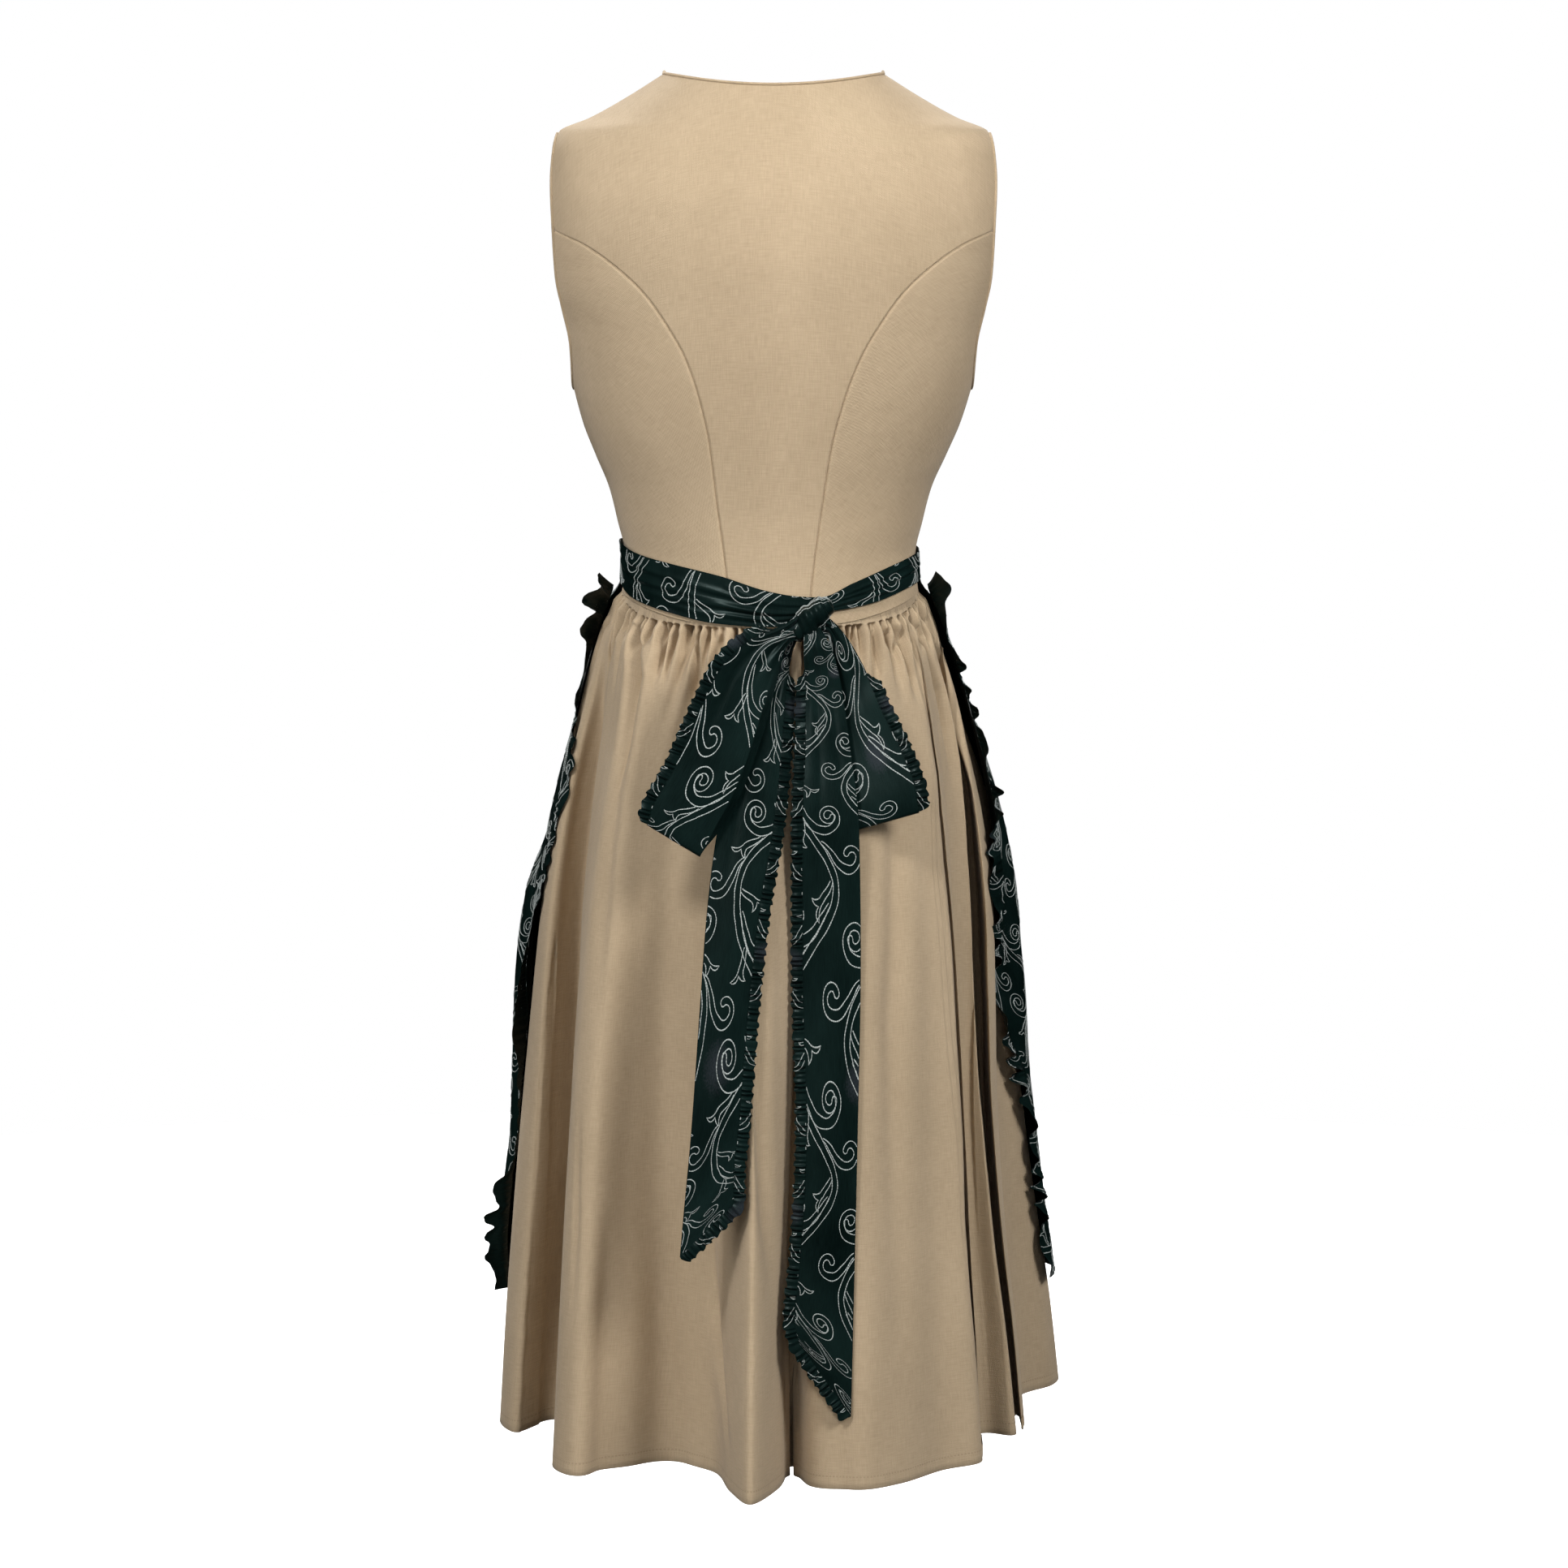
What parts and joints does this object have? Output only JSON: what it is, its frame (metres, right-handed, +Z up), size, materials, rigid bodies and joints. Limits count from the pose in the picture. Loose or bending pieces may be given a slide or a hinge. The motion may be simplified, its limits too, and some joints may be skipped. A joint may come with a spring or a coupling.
{
  "type": "dirndl dress",
  "caption": "Sleeveless beige linen dirndl dress with a gathered knee-length skirt and a bottle-green satin apron with ruffled sides, tied in a hanging bow at the back.",
  "frame": {"origin": "between the shoulders, level with the side of the neck, in the middle of the body", "axes": "+Z up the body, +X to the wearer's left, +Y out of the wearer's back"},
  "size_m": [0.4605, 0.4733, 1.0644],
  "materials": {
    "beige linen twill": "matt fine twill",
    "bottle green satin": "satin with a light outlined scroll pattern"
  },
  "bodies": {
    "root": {"armhole_piping_left": "beige linen twill", "armhole_piping_right": "beige linen twill", "back_centre": "beige linen twill", "back_side_left": "beige linen twill", "back_side_right": "beige linen twill", "front_left": "beige linen twill", "front_right": "beige linen twill", "front_side_left": "beige linen twill", "front_side_right": "beige linen twill", "neck_piping": "beige linen twill", "skirt_back": "beige linen twill", "skirt_front": "beige linen twill", "apron": "bottle green satin", "apron_ruffle_left": "bottle green satin", "apron_ruffle_right": "bottle green satin", "apron_waistband": "bottle green satin", "bow_loop_left": "bottle green satin", "bow_loop_right": "bottle green satin", "knot": "bottle green satin", "loop_left_frill": "bottle green satin", "loop_right_frill": "bottle green satin", "tail_left": "bottle green satin", "tail_left_frill": "bottle green satin", "tail_right": "bottle green satin", "tail_right_frill": "bottle green satin", "tie_left": "bottle green satin", "tie_right": "bottle green satin"}
  },
  "joints": []
}
